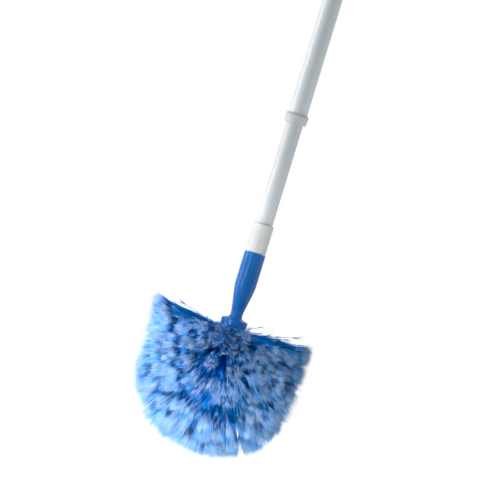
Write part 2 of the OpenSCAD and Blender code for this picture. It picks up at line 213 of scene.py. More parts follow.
class Effects:
    """Surface effects that several finishes share, each a node group that is built once."""

    COORDS = Socket("Coordinates", "NodeSocketVector")

    def __init__(self) -> None:
        """Builds every effect."""
        self.grain = self._grain()
        self.streaks = self._streaks()
        self.handling = self._handling()
        self.seam = self._seam()
        self.dust = self._dust()

    def _start(self, name: str, output: str, *inputs: Socket) -> tuple[Tree, Any, Any]:
        """Starts a group, whose first input is the coordinates.

        Args:
            name: The group's name.
            output: The name of its output, a float.
            inputs: Its other input sockets.

        Returns:
            The tree, the group's input node and its output node.
        """
        group = bpy.data.node_groups.new(name, "ShaderNodeTree")
        for socket in (self.COORDS, *inputs):
            made = group.interface.new_socket(socket.name, in_out="INPUT", socket_type=socket.kind)
            if socket.start is not None:
                made.default_value = socket.start
        group.interface.new_socket(output, in_out="OUTPUT", socket_type="NodeSocketFloat")
        tree = Tree(group)
        return tree, tree.add("NodeGroupInput"), tree.add("NodeGroupOutput")

    def _grain(self) -> bpy.types.NodeTree:
        """Fine spark-eroded grain of a mould, as a height.

        Returns:
            The effect's node group.
        """
        tree, inner, outer = self._start("moulded_grain", "Height", Socket("Scale", start=2500.0))
        fine = tree.noise(inner.outputs[0], inner.outputs[1], 4.0)
        broad = tree.noise(inner.outputs[0], tree.math("MULTIPLY", inner.outputs[1], 0.12), 2.0)
        total = tree.math("ADD", tree.math("MULTIPLY", fine, 0.6), tree.math("MULTIPLY", broad, 0.4))
        tree.feed(outer.inputs[0], total)
        return tree.tree

    def _streaks(self) -> bpy.types.NodeTree:
        """Fine marks along the pole, where it was drawn and has slid, as a mask.

        Returns:
            The effect's node group.
        """
        tree, inner, outer = self._start("lengthwise_streaks", "Mask", Socket("Amount", start=0.5))
        thin = tree.noise(tree.stretch(inner.outputs[0], (900.0, 900.0, 6.0)), 1.0, 3.0)
        patch = tree.noise(tree.stretch(inner.outputs[0], (30.0, 30.0, 7.0)), 1.0, 2.0)
        mask = tree.math("MULTIPLY", tree.band(thin, 0.56, 0.72), tree.band(patch, 0.40, 0.62))
        tree.feed(outer.inputs[0], tree.math("MULTIPLY", mask, inner.outputs[1]))
        return tree.tree

    def _handling(self) -> bpy.types.NodeTree:
        """Soft patches where hands have polished or smudged a surface, as a mask.

        Returns:
            The effect's node group.
        """
        tree, inner, outer = self._start("handling_marks", "Mask", Socket("Scale", start=60.0))
        broad = tree.noise(inner.outputs[0], inner.outputs[1], 3.0)
        fine = tree.noise(inner.outputs[0], tree.math("MULTIPLY", inner.outputs[1], 9.0), 2.0)
        mask = tree.math("ADD", tree.band(broad, 0.35, 0.7), tree.math("MULTIPLY", fine, 0.3))
        tree.feed(outer.inputs[0], tree.math("MULTIPLY", mask, 0.77))
        return tree.tree

    def _seam(self) -> bpy.types.NodeTree:
        """The thin line where the mould's two halves met, in the plane y = 0, as a height.

        Returns:
            The effect's node group.
        """
        tree, inner, outer = self._start("mould_seam", "Height", Socket("Half width", start=0.16 * MM))
        axes = tree.add("ShaderNodeSeparateXYZ")
        tree.feed(axes.inputs[0], inner.outputs[0])
        away = tree.math("DIVIDE", tree.math("ABSOLUTE", axes.outputs[1]), inner.outputs[1])
        tree.feed(outer.inputs[0], tree.math("SUBTRACT", 1.0, tree.band(away, 0.4, 1.6)))
        return tree.tree

    def _dust(self) -> bpy.types.NodeTree:
        """A little dust on what faces up the pole, as a mask.

        Returns:
            The effect's node group.
        """
        tree, inner, outer = self._start("settled_dust", "Mask", Socket("Amount", start=0.2))
        axes = tree.add("ShaderNodeSeparateXYZ")
        tree.feed(axes.inputs[0], tree.add("ShaderNodeNewGeometry").outputs["Normal"])
        specks = tree.band(tree.noise(inner.outputs[0], 420.0, 5.0), 0.25, 0.70)
        up = tree.band(axes.outputs[2], 0.2, 0.95)
        tree.feed(outer.inputs[0], tree.math("MULTIPLY", tree.math("MULTIPLY", specks, up), inner.outputs[1]))
        return tree.tree


class Surface(Tree):
    """A new material with a Principled shader, under construction."""

    def __init__(self, name: str) -> None:
        """Makes the material and its shader.

        Args:
            name: The material's name.
        """
        self.material = bpy.data.materials.new(name)
        self.material.use_nodes = True
        super().__init__(self.material.node_tree)
        self.tree.nodes.clear()
        self.shader = self.add("ShaderNodeBsdfPrincipled")
        self.feed(self.add("ShaderNodeOutputMaterial").inputs["Surface"], self.shader.outputs[0])

    def coords(self) -> bpy.types.NodeSocket:
        """The piece's own Object coordinates."""
        return self.add("ShaderNodeTexCoord").outputs["Object"]

    def effect(self, group: bpy.types.NodeTree, **values: Any) -> bpy.types.NodeSocket:
        """Places a shared effect.

        Args:
            group: The effect's node group.
            values: Its inputs, by name with _ for a space.

        Returns:
            The socket of its result.
        """
        node = self.add("ShaderNodeGroup", node_tree=group)
        for key, value in values.items():
            self.feed(node.inputs[key.replace("_", " ")], value)
        return node.outputs[0]

    def set(self, **values: Any) -> None:
        """Sets or feeds the shader's sockets, by name with _ for a space."""
        for key, value in values.items():
            self.feed(self.shader.inputs[key.replace("_", " ")], value)

    def bump(self, height: Any, depth: float, under: Any = None) -> bpy.types.NodeSocket:
        """Turns a height into a normal.

        Args:
            height: The height, from 0 to 1.
            depth: The depth in metres that 1 stands for.
            under: The normal that it is laid over.

        Returns:
            The normal's socket.
        """
        node = self.add("ShaderNodeBump")
        node.inputs["Distance"].default_value = depth
        self.feed(node.inputs["Height"], height)
        if under is not None:
            self.feed(node.inputs["Normal"], under)
        return node.outputs[0]


def solid(colour: Colour, share: float = 1.0) -> tuple[float, float, float, float]:
    """A colour as a socket takes it, darkened to a share of itself."""
    return (*(channel * share for channel in colour), 1.0)


@dataclass(frozen=True)
class Finish:
    """How a piece's surface looks."""

    name: str

    def make(self, effects: Effects) -> bpy.types.Material:
        """Builds the material.

        Args:
            effects: The shared effects.

        Returns:
            The finished material.
        """
        raise NotImplementedError


@dataclass(frozen=True)
class Enamel(Finish):
    """White stove enamel on a drawn steel tube.

    Attributes:
        colour: The clean enamel's colour.
        rubbed: How strongly the marks of sliding show.
        roughness: Roughness where it is clean.
        worn: Brightness of rubbed enamel, as a share of the clean one's.
        smudge: How strongly hand marks show.
        peel: Depth of the enamel's orange peel, and of the marks in it.
        coat: Weight of the clear top coat.
    """

    colour: Colour
    rubbed: float
    roughness: float = 0.34
    worn: float = 0.72
    smudge: float = 0.05
    peel: float = 0.02 * MM
    coat: float = 0.25

    def make(self, effects: Effects) -> bpy.types.Material:
        """Builds the material.

        Args:
            effects: The shared effects.

        Returns:
            The finished material.
        """
        surface = Surface(self.name)
        coords = surface.coords()
        rub = surface.effect(effects.streaks, Coordinates=coords, Amount=self.rubbed)
        marks = surface.effect(effects.handling, Coordinates=coords, Scale=28.0)
        worn = solid(self.colour, self.worn)
        base = surface.mix(rub, solid(self.colour), worn)
        rough = surface.math("ADD", self.roughness, surface.math("MULTIPLY", marks, 0.10))
        peel = surface.bump(surface.noise(coords, 420.0, 2.0), self.peel)
        surface.set(
            Base_Color=surface.mix(surface.math("MULTIPLY", marks, self.smudge), base, worn),
            Roughness=surface.math("ADD", rough, surface.math("MULTIPLY", rub, 0.25)),
            Normal=surface.bump(rub, -self.peel, peel),
            Coat_Roughness=0.15,
            Coat_Weight=self.coat,
        )
        return surface.material


@dataclass(frozen=True)
class MouldedPlastic(Finish):
    """Injection-moulded plastic with a fine grain, a mould seam and marks from handling.

    Attributes:
        colour: The plastic's colour.
        roughness: Roughness where no hand has polished it.
        smudge: How strongly hand marks show.
        grain: How fine the mould's grain is.
        grain_depth: Depth of the grain.
        seam_depth: Height of the mould seam.
        dust: How strongly dust shows on what faces up.
        gloss: Specular level.
        deep: Brightness of the darker flow patches, as a share of the colour.
        hand_grey: Colour of hand marks.
        dust_grey: Colour of dust.
    """

    colour: Colour
    roughness: float
    smudge: float = 0.06
    grain: float = 2200.0
    grain_depth: float = 0.03 * MM
    seam_depth: float = 0.05 * MM
    dust: float = 0.12
    gloss: float = 0.4
    deep: float = 0.86
    hand_grey: Colour = (0.50, 0.52, 0.55)
    dust_grey: Colour = (0.55, 0.56, 0.58)

    def make(self, effects: Effects) -> bpy.types.Material:
        """Builds the material.

        Args:
            effects: The shared effects.

        Returns:
            The finished material.
        """
        surface = Surface(self.name)
        coords = surface.coords()
        marks = surface.effect(effects.handling, Coordinates=coords, Scale=55.0)
        dust = surface.effect(effects.dust, Coordinates=coords, Amount=self.dust)
        flow = surface.noise(surface.stretch(coords, (1.0, 1.0, 0.35)), 70.0, 3.0)
        base = surface.mix(surface.band(flow, 0.3, 0.7), solid(self.colour, self.deep), solid(self.colour))
        base = surface.mix(surface.math("MULTIPLY", marks, self.smudge), base, solid(self.hand_grey))
        rough = surface.math("SUBTRACT", self.roughness + 0.06, surface.math("MULTIPLY", marks, 0.12))
        seam = surface.bump(surface.effect(effects.seam, Coordinates=coords), self.seam_depth)
        grain = surface.effect(effects.grain, Coordinates=coords, Scale=self.grain)
        surface.set(
            Base_Color=surface.mix(dust, base, solid(self.dust_grey)),
            Roughness=surface.math("ADD", rough, surface.math("MULTIPLY", dust, 0.4)),
            Normal=surface.bump(grain, self.grain_depth, seam),
            Specular_IOR_Level=self.gloss,
        )
        return surface.material


@dataclass(frozen=True)
class PlatedSteel(Finish):
    """Zinc-plated steel with a faint spangle and dull patches.

    Attributes:
        colour: The bright zinc's colour.
        roughness: Roughness where it is bright.
        dark: Brightness of the darker spangles, as a share of the colour.
        grain_depth: Depth of its grain.
    """

    colour: Colour = (0.62, 0.62, 0.60)
    roughness: float = 0.32
    dark: float = 0.78
    grain_depth: float = 0.01 * MM

    def make(self, effects: Effects) -> bpy.types.Material:
        """Builds the material.

        Args:
            effects: The shared effects.

        Returns:
            The finished material.
        """
        surface = Surface(self.name)
        coords = surface.coords()
        dull = surface.effect(effects.handling, Coordinates=coords, Scale=400.0)
        spangle = surface.noise(coords, 1500.0, 2.0)
        grain = surface.effect(effects.grain, Coordinates=coords, Scale=5000.0)
        surface.set(
            Base_Color=surface.mix(spangle, solid(self.colour, self.dark), solid(self.colour)),
            Roughness=surface.math("ADD", self.roughness, surface.math("MULTIPLY", dull, 0.22)),
            Metallic=1.0,
            Normal=surface.bump(grain, self.grain_depth),
        )
        return surface.material


@dataclass(frozen=True)
class BristleFibre(Finish):
    """Blue plastic filaments: deep blue along the shaft and frayed to a pale blue at the tip.

    It varies from wisp to wisp, along U of the map, and along the filament, V. The darkening from wisp to
    wisp is a random tone that also stands in for the shade between strands, so it is partly painted shade.

    Attributes:
        uv_map: The map that it reads.
        stops: The colours along the filament, from root at 0 to tip at 1.
        stagger: How far the colours are shifted along the filament, from wisp to wisp.
        darkest: Factor on the colour of the darkest wisps, the deepest painted shade.
        lightest: Factor on the colour of the lightest wisps, where the painted shade is least.
        roughness: Roughness at the root.
        frayed: How much rougher the tip is.
    """

    uv_map: str
    stops: tuple[tuple[float, Colour], ...] = (
        (0.000, (0.000, 0.150, 0.800)),
        (0.400, (0.000, 0.280, 0.950)),
        (0.850, (0.000, 0.350, 0.950)),
        (0.910, (0.160, 0.480, 0.960)),
        (0.955, (0.450, 0.650, 0.930)),
    )
    stagger: float = 0.32
    darkest: float = 0.64
    lightest: float = 1.02
    roughness: float = 0.45
    frayed: float = 0.25

    def make(self, effects: Effects) -> bpy.types.Material:
        """Builds the material.

        Args:
            effects: The shared effects, which are not used.

        Returns:
            The finished material.
        """
        surface = Surface(self.name)
        axes = surface.add("ShaderNodeSeparateXYZ")
        surface.feed(axes.inputs[0], surface.add("ShaderNodeUVMap", uv_map=self.uv_map).outputs[0])
        across, upwards = axes.outputs[0], axes.outputs[1]
        early = surface.noise(surface.math("MULTIPLY", across, 97.0), 1.0, 0.0, Space.LINE)
        shift = surface.math("MULTIPLY", surface.math("SUBTRACT", early, 0.5), self.stagger)
        colour = surface.ramp(surface.math("ADD", upwards, shift, clamp=True), self.stops)
        # Painted shade: each wisp is darkened by a random factor, which stands in for the shading between
        # strands.
        own = surface.noise(surface.math("MULTIPLY_ADD", across, 61.0, 500.0), 1.0, 0.0, Space.LINE)
        span = self.lightest - self.darkest
        shade = surface.math("MULTIPLY_ADD", surface.band(own, 0.35, 0.65), span, self.darkest)
        painted_shade = surface.add("ShaderNodeCombineColor")
        for channel in painted_shade.inputs:
            surface.feed(channel, shade)
        surface.set(
            Base_Color=surface.mix(1.0, colour, painted_shade.outputs[0], "MULTIPLY"),
            Roughness=surface.math("MULTIPLY_ADD", upwards, self.frayed, self.roughness),
            Specular_IOR_Level=0.02,
        )
        return surface.material


class Dresser:
    """Gives CAD nodes their finishes, and makes each material once."""

    def __init__(self, effects: Effects) -> None:
        """Starts with no materials."""
        self.effects = effects
        self.made: dict[Finish, bpy.types.Material] = {}

    def material(self, finish: Finish) -> bpy.types.Material:
        """The material of a finish.

        Args:
            finish: The finish.

        Returns:
            Its material, made on first use.
        """
        if finish not in self.made:
            self.made[finish] = finish.make(self.effects)
        return self.made[finish]

    def dress(self, finish: Finish, nodes: tuple[str, ...]) -> None:
        """Gives CAD nodes a finish.

        Args:
            finish: The finish.
            nodes: The nodes' names.
        """
        for name in nodes:
            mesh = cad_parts[name].data
            mesh.materials.clear()
            mesh.materials.append(self.material(finish))
            log.info("%s wears %s", name, finish.name)


WHITE_ENAMEL = Enamel("white_enamel", (0.72, 0.73, 0.74), rubbed=0.15)
SLID_ENAMEL = Enamel("slid_white_enamel", (0.61, 0.62, 0.63), rubbed=0.40)
WHITE_PLASTIC = MouldedPlastic("white_plastic", (0.68, 0.67, 0.65), roughness=0.42)
NECK_PLASTIC = MouldedPlastic("neck_blue_plastic", (0.000, 0.150, 0.500), roughness=0.22, smudge=0.02,
                              dust=0.02, gloss=0.15)
GRIP_PLASTIC = MouldedPlastic("grip_blue_plastic", (0.006, 0.080, 0.340), roughness=0.55, grain=1500.0,
                              grain_depth=0.06 * MM)
GREY_PLASTIC = MouldedPlastic("grey_plastic", (0.060, 0.062, 0.068), roughness=0.5)
NYLON = MouldedPlastic("nylon", (0.72, 0.69, 0.60), roughness=0.45)
ZINC = PlatedSteel("zinc_steel")
FILAMENT_UV = "Filament"
BRISTLE = BristleFibre("blue_bristle", FILAMENT_UV)

Wear = tuple[tuple[Finish, tuple[str, ...]], ...]


@dataclass(frozen=True)
class PackedPieces:
    """Pieces of the CAD that belong together and need only their finishes.

    Attributes:
        wear: Each finish, and the nodes that wear it.
    """

    wear: Wear = ()

    def dress(self, dresser: Dresser) -> None:
        """Gives the pieces their finishes.

        Args:
            dresser: What makes the materials.
        """
        for finish, nodes in self.wear:
            dresser.dress(finish, nodes)


@dataclass(frozen=True)
class OuterPole(PackedPieces):
    """The thick tube with its collar, grip and hanging cap."""

    wear: Wear = (
        (WHITE_ENAMEL, ("outer_tube",)),
        (WHITE_PLASTIC, ("guide_collar",)),
        (GRIP_PLASTIC, ("hand_grip",)),
        (NECK_PLASTIC, ("hang_cap",)),
        (ZINC, ("cap_pin",)),
    )


@dataclass(frozen=True)
class InnerPole(PackedPieces):
    """The thin tube with its threaded tip, and what it carries of the twist lock."""

    wear: Wear = (
        (SLID_ENAMEL, ("inner_tube",)),
        (WHITE_PLASTIC, ("pole_tip",)),
        (GREY_PLASTIC, ("end_plug",)),
        (ZINC, ("tip_screw", "plug_pin", "lock_stud", "lock_washer", "stop_nut")),
    )


@dataclass(frozen=True)
class TwistLock(PackedPieces):
    """The sleeve and the cone that lock the inner tube in the outer one."""

    wear: Wear = (
        (NYLON, ("expander_sleeve",)),
        (GREY_PLASTIC, ("lock_cone",)),
    )


@dataclass(frozen=True)
class BrushHead(PackedPieces):
    """The neck, and the block that holds the tufts."""

    wear: Wear = (
        (NECK_PLASTIC, ("socket_neck", "brush_block")),
        (ZINC, ("neck_screw", "screw_washer", "tuft_anchors")),
    )


def deselect() -> None:
    """Leaves nothing selected, in object mode."""
    bpy.ops.object.select_all(action="DESELECT")


def unit(vectors: np.ndarray) -> np.ndarray:
    """Vectors of the same directions and of length 1."""
    return vectors / np.linalg.norm(vectors, axis=-1, keepdims=True)


@dataclass
class FilamentPattern:
    """One straight filament that frays into flags, modelled once along Z from 0 to 1.

    Across, its sizes are in metres, and a filament of the head is a bent and stretched copy of it.

    Attributes:
        radius: Radius of the shaft.
        taper: Radius at the shaft's end, as a share of that.
        fray: Height at which the shaft ends in flags.
        cuts: Heights of the rings at which it can bend.
        flags: How many flags it has.
        flag_radius: Radius of a flag's foot.
        flag_foot: Distance of the feet from the axis, as a share of the shaft's radius.
        sunk: How far the feet are sunk in the shaft.
        spread: How far the widest flag reaches outwards.
        least_spread: The narrowest flag's reach, as a share of that.
        least_length: The shortest flag's length, as a share of the longest one's.
        flag_bend: Where a flag bends, as a share of its length.
        flag_curl: How far out it is there, as a share of its reach.
        stagger: How far every other flag is turned, as a share of the angle between two.
        margin: How far off a ring points are picked, which keeps clear of rounding.
    """

    radius: float = 0.36 * MM
    taper: float = 0.85
    fray: float = 0.84
    cuts: tuple[float, ...] = (0.16, 0.36, 0.58)
    flags: int = 6
    flag_radius: float = 0.30 * MM
    flag_foot: float = 0.4
    sunk: float = 0.008
    spread: float = 2.4 * MM
    least_spread: float = 0.55
    least_length: float = 0.78
    flag_bend: float = 0.45
    flag_curl: float = 0.30
    stagger: float = 0.35
    margin: float = 0.01

    def build(self) -> bpy.types.Object:
        """Models the filament.

        Returns:
            The filament, one mesh of triangles.
        """
        parts = [self._shaft()] + [self._flag(i) for i in range(self.flags)]
        deselect()
        for part in parts:
            part.select_set(True)
        bpy.context.view_layer.objects.active = parts[0]
        bpy.ops.object.join()
        bpy.ops.object.mode_set(mode="EDIT")
        bpy.ops.mesh.select_all(action="SELECT")
        bpy.ops.mesh.quads_convert_to_tris()
        bpy.ops.mesh.normals_make_consistent(inside=False)
        bpy.ops.object.mode_set(mode="OBJECT")
        return parts[0]

    def _shaft(self) -> bpy.types.Object:
        """Models the shaft, a three-sided rod with rings where it bends.

        Returns:
            The shaft.
        """
        deselect()
        bpy.ops.mesh.primitive_cylinder_add(vertices=3, radius=self.radius, depth=self.fray,
                                            location=(0.0, 0.0, self.fray / 2))
        shaft = bpy.context.object
        bpy.ops.object.transform_apply(location=True, rotation=True, scale=True)
        bpy.ops.object.mode_set(mode="EDIT")
        for height in self.cuts:
            bpy.ops.mesh.select_all(action="SELECT")
            bpy.ops.mesh.bisect(plane_co=(0.0, 0.0, height), plane_no=(0.0, 0.0, 1.0))
        self._select_above(shaft, self.fray - self.margin)
        bpy.ops.transform.resize(value=(self.taper, self.taper, 1.0))
        bpy.ops.object.mode_set(mode="OBJECT")
        return shaft

    def _flag(self, index: int) -> bpy.types.Object:
        """Models one flag, a thin spike that leaves the shaft's end and curls outwards.

        Args:
            index: Which flag it is, counted round the shaft.

        Returns:
            The flag.
        """
        turn = 2 * math.pi * (index + self.stagger * (index % 2)) / self.flags
        reach = self.spread * self._share(2 * index, self.least_spread)
        length = (1.0 - self.fray) * self._share(3 * index, self.least_length)
        out = Vector((math.cos(turn), math.sin(turn), 0.0))
        foot = out * self.radius * self.flag_foot
        base = self.fray - self.sunk
        bend = base + length * self.flag_bend
        deselect()
        bpy.ops.mesh.primitive_cone_add(vertices=3, radius1=self.flag_radius, radius2=0.0, depth=length,
                                        location=(foot.x, foot.y, base + length / 2))
        flag = bpy.context.object
        bpy.ops.object.transform_apply(location=True, rotation=True, scale=True)
        bpy.ops.object.mode_set(mode="EDIT")
        bpy.ops.mesh.bisect(plane_co=(0.0, 0.0, bend), plane_no=(0.0, 0.0, 1.0))
        self._select_above(flag, bend - self.margin)
        bpy.ops.transform.translate(value=out * reach * self.flag_curl)
        self._select_above(flag, bend + 2 * self.margin)
        bpy.ops.transform.translate(value=out * reach * (1.0 - self.flag_curl))
        bpy.ops.object.mode_set(mode="OBJECT")
        return flag

    def _share(self, step: int, least: float) -> float:
        """A share from least to 1, which varies from flag to flag."""
        return least + (1.0 - least) * (step % self.flags) / (self.flags - 1)

    @staticmethod
    def _select_above(piece: bpy.types.Object, height: float) -> None:
        """Selects a piece's vertices above a height, in edit mode.

        Args:
            piece: The piece.
            height: The height.
        """
        bpy.ops.mesh.select_all(action="DESELECT")
        shape = bmesh.from_edit_mesh(piece.data)
        for vertex in shape.verts:
            vertex.select = vertex.co.z > height
        shape.select_flush(True)
        bmesh.update_edit_mesh(piece.data)


@dataclass
class Curves:
    """Filaments as quadratic curves, one row of each array for each filament.

    Attributes:
        roots: Where they start.
        middles: Their middle control points.
        tips: Where they end.
        lanes: Their places on the texture map, from 0 to 1, alike for the filaments of one wisp.
    """

    roots: np.ndarray
    middles: np.ndarray
    tips: np.ndarray
    lanes: np.ndarray

    @staticmethod
    def joined(bundles: list["Curves"]) -> "Curves":
        """All filaments of several bundles.

        Args:
            bundles: The bundles.

        Returns:
            One bundle that holds them all.
        """
        return Curves(*(np.concatenate([getattr(bundle, part) for bundle in bundles])
                        for part in ("roots", "middles", "tips", "lanes")))


@dataclass(frozen=True)
class Parting:
    """A place where the bristles part, seen from the front.

    Attributes:
        angle: Direction from the dome's centre, in degrees below +X.
        width: Half the angle over which the filaments are pushed aside, in degrees.
        gap: Half the angle that is left open, in degrees.
        start: Reach from the dome's centre at which it starts.
        fade: Reach over which it opens.
    """

    angle: float
    width: float
    gap: float
    start: float
    fade: float = 20 * MM

    def push(self, x: np.ndarray, z: np.ndarray) -> tuple[np.ndarray, np.ndarray]:
        """Pushes points aside.

        Args:
            x: Their places from left to right.
            z: Their heights above the dome's centre.

        Returns:
            The new places and heights.
        """
        reach = np.hypot(x, z)
        off = np.degrees(np.arctan2(-z, x)) - self.angle
        share = np.clip((reach - self.start) / self.fade, 0, 1)
        pushed = np.sign(off) * (self.gap + np.abs(off) * (1 - self.gap / self.width))
        turn = np.where(np.abs(off) < self.width, (pushed - off) * share, 0)
        turned = np.radians(self.angle + off + turn)
        return reach * np.cos(turned), -reach * np.sin(turned)


@dataclass
class HeadForm:
    """The outline of the bristle head: a flat top, upright sides and a dome below.

    Attributes:
        radius: Radius of the head.
        depth: From the block's top to the bottom of the dome.
        dome_start: From the block's top to where the dome starts.
        dome_power: How full the dome is, where 2 is an ellipse.
        droop: How far the lowest filaments hang past the dome.
        left_rise: How far the upper edge stands above the block's top at the far left.
        mid_rise: The same 0.7 of the radius out, where the edge sinks below it.
        partings: Where the bristles part.
    """

    radius: float = 105 * MM
    depth: float = 165 * MM
    dome_start: float = 50 * MM
    dome_power: float = 2.7
    droop: float = 5 * MM
    left_rise: float = 10 * MM
    mid_rise: float = -13 * MM
    partings: tuple[Parting, ...] = (
        Parting(angle=61.6, width=9.0, gap=2.2, start=46 * MM),
        Parting(angle=132.0, width=7.0, gap=1.2, start=98 * MM),
        Parting(angle=44.0, width=5.0, gap=1.2, start=104 * MM),
    )

    def __post_init__(self) -> None:
        """Takes the top's height from the frame."""
        self.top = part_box("brush_block")[1].z
        self.dome_z = self.top - self.dome_start
        self.dome_h = self.depth - self.dome_start

    def reach(self, angle: np.ndarray) -> np.ndarray:
        """Reach of the outline from the dome's centre.

        Args:
            angle: Angles below the level, in radians.

        Returns:
            The reach at each angle.
        """
        c = np.maximum(np.cos(angle), 1e-6)
        s = np.maximum(np.sin(angle), 0.0)
        power = self.dome_power
        dome = ((c / self.radius) ** power + (s / self.dome_h) ** power) ** (-1 / power)
        return np.where(angle < 0, self.radius / c, dome)

    def onto_outline(self, points: np.ndarray) -> np.ndarray:
        """Moves points along their own radius onto the outline.

        Args:
            points: Points near the outline.

        Returns:
            The points on it.
        """
        centre = np.array([0.0, 0.0, self.dome_z])
        away = points - centre
        level = np.hypot(away[:, 0], away[:, 1])
        angle = np.arctan2(-away[:, 2], level)
        reach = self.reach(angle) + self.droop * np.maximum(np.sin(angle), 0) ** 3
        return centre + unit(away) * reach[:, None]

    def rise(self, tips: np.ndarray) -> np.ndarray:
        """How far the upper edge stands above the block's top.

        Args:
            tips: Where it is asked for.

        Returns:
            The rise at each, below 0 where the edge sinks.
        """
        share = np.clip(tips[:, 0] / self.radius, -1, 1)
        left = np.where(share < 0, self.left_rise, 0.0)
        return left * share**4 + self.mid_rise * 4 * share**2 * (1 - share**2)

    def part(self, tips: np.ndarray) -> np.ndarray:
        """Pushes tips aside where the bristles part.

        Args:
            tips: The filaments' tips.

        Returns:
            The tips after the push.
        """
        moved = tips.copy()
        for parting in self.partings:
            moved[:, 0], height = parting.push(moved[:, 0], moved[:, 2] - self.dome_z)
            moved[:, 2] = self.dome_z + height
        return moved


@dataclass(frozen=True)
class TuftStyle:
    """How the filaments of a tuft spread, gather, bend and differ in length.

    Attributes:
        filaments: How many filaments a tuft has.
        wisps: How many wisps they gather in.
        gather: How far each is drawn to its wisp, as a share of the way.
        flare: Radius of the tuft at the tips.
        flare_range: Least and greatest factor on that, drawn for each tuft.
        lean: How far the tuft may lean to a side.
        loose_share: Share of the filaments that keep out of the wisps.
        loose_flare: Radius over which those spread.
        splay: Radius of the tuft where its filaments bend.
        bend: Where they bend, as a share of the tuft's length.
        bend_scatter: How far that place is scattered.
        kink: How far the last part of a filament is bent aside.
        kink_start: Where that part starts, as a share of the length.
        kink_power: How late in it the bend comes.
        wave: Height of a filament's waves.
        waves: How many waves it has.
        flag_range: Least and greatest factor on the spread of a filament's flags.
        tuft_short: Mean length that whole tufts lack.
        wisp_short: Mean length that wisps lack.
        own_short: Mean length that single filaments lack.
        most_short: Most that a filament lacks.
        overrun: How far the longest run past the outline.
        stray_share: Share of the uppermost row's filaments that stray upwards.
        left_stray: Most that those rise on the left.
        right_stray: Most that those rise on the right.
        stray_short: Most that those lack besides.
    """

    filaments: int = 92
    wisps: int = 10
    gather: float = 0.35
    flare: float = 11.0 * MM
    flare_range: tuple[float, float] = (0.75, 1.20)
    lean: float = 9.0 * MM
    loose_share: float = 0.12
    loose_flare: float = 17.0 * MM
    splay: float = 6.0 * MM
    bend: float = 0.12
    bend_scatter: float = 1.2 * MM
    kink: float = 3.5 * MM
    kink_start: float = 0.72
    kink_power: float = 1.5
    wave: float = 0.6 * MM
    waves: float = 1.6
    flag_range: tuple[float, float] = (0.6, 1.8)
    tuft_short: float = 6.5 * MM
    wisp_short: float = 2.0 * MM
    own_short: float = 1.4 * MM
    most_short: float = 26.0 * MM
    overrun: float = 10.5 * MM
    stray_share: float = 0.05
    left_stray: float = 12 * MM
    right_stray: float = 22 * MM
    stray_short: float = 30 * MM


@dataclass
class TuftPlace:
    """Where one tuft stands.

    Attributes:
        root: Its middle on the block's surface.
        tip: Its middle on the head's outline.
        across: The level direction round the head.
    """

    root: np.ndarray
    tip: np.ndarray
    across: np.ndarray

    def __post_init__(self) -> None:
        """Works out the tuft's length and its two other directions."""
        self.length = np.linalg.norm(self.tip - self.root)
        self.along = unit(self.tip - self.root)
        self.down = np.cross(self.along, self.across)

    def spread(self, offsets: np.ndarray) -> np.ndarray:
        """Offsets across and down the head as offsets in space."""
        return offsets[:, :1] * self.across + offsets[:, 1:] * self.down


